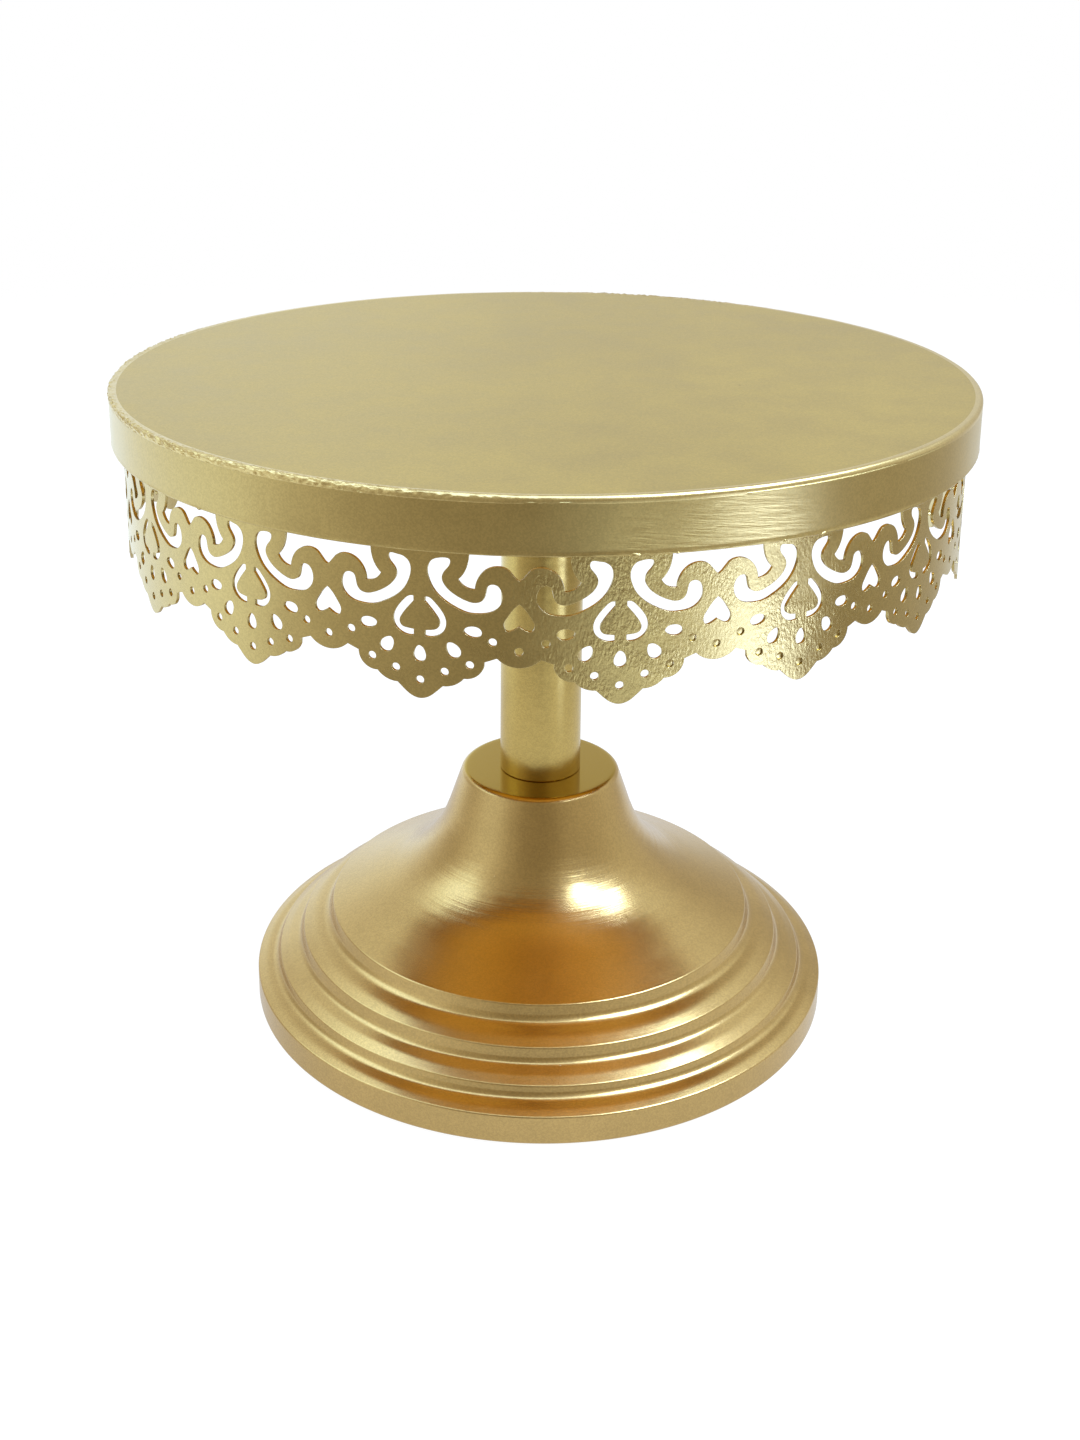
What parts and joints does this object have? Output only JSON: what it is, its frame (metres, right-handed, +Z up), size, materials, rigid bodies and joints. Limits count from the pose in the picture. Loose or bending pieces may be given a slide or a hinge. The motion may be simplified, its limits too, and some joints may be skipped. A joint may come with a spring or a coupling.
{
  "type": "pedestal cake stand",
  "caption": "Round pedestal cake stand: a flat plate with a pierced lace skirt, screwed to a tubular column on a stepped, hollow spun base.",
  "frame": {"origin": "centre of the plane that the feet rest on", "axes": "+Z up along the column, -Y towards the front, +X to the right of a viewer at the front"},
  "size_m": [0.25, 0.25, 0.2],
  "materials": {
    "gold_plate": "matte champagne-gold metallic paint",
    "gold_band": "satin champagne-gold metallic paint, faintly brushed along the band",
    "gold_lace": "satin champagne-gold metallic paint with orange peel",
    "gold_base": "satin champagne-gold metallic paint over spun sheet",
    "gold_tube": "satin gold metallic paint",
    "zinc_steel": "bright zinc plate",
    "fibre": "matt black nylon",
    "pad_rubber": "matt black foam rubber"
  },
  "bodies": {
    "pedestal": {"column_tube": "gold_tube", "column_top_insert": "zinc_steel", "column_foot_insert": "zinc_steel", "base_shell": "gold_base", "neck_stiffener": "gold_base", "foot_pads": "pad_rubber"},
    "soft_washer": {"plate_washer": "fibre"},
    "plate": {"plate_disc": "gold_plate", "rim_hoop": "gold_band", "lace_skirt": "gold_lace", "skirt_tack_welds": "gold_band", "stiffener_plate": "gold_band", "plate_stud": "zinc_steel"},
    "bolt_washers": {"flat_washer": "zinc_steel", "spring_washer": "zinc_steel"},
    "bolt": {"base_bolt": "zinc_steel"}
  },
  "joints": [
    {"name": "plate_unscrew", "type": "hinge", "parent": "pedestal", "child": "soft_washer", "pos_m": [0, 0, 0.1958], "axis": [0, 0, 1], "range_deg": [0, 2880]},
    {"name": "plate_lift", "type": "slide", "parent": "soft_washer", "child": "plate", "axis": [0, 0, 1], "range_m": [0, 0.01]},
    {"name": "bolt_drop", "type": "slide", "parent": "pedestal", "child": "bolt_washers", "axis": [0, 0, -1], "range_m": [0, 0.00937]},
    {"name": "bolt_unscrew", "type": "hinge", "parent": "bolt_washers", "child": "bolt", "pos_m": [0, 0, 0.0669], "axis": [0, 0, -1], "range_deg": [0, 2700]}
  ],
  "couplings": [
    {"joint": "plate_lift", "follows": "plate_unscrew", "m_per_rad": 0.00019894},
    {"joint": "bolt_unscrew", "follows": "bolt_drop", "rad_per_m": 5026.5}
  ]
}
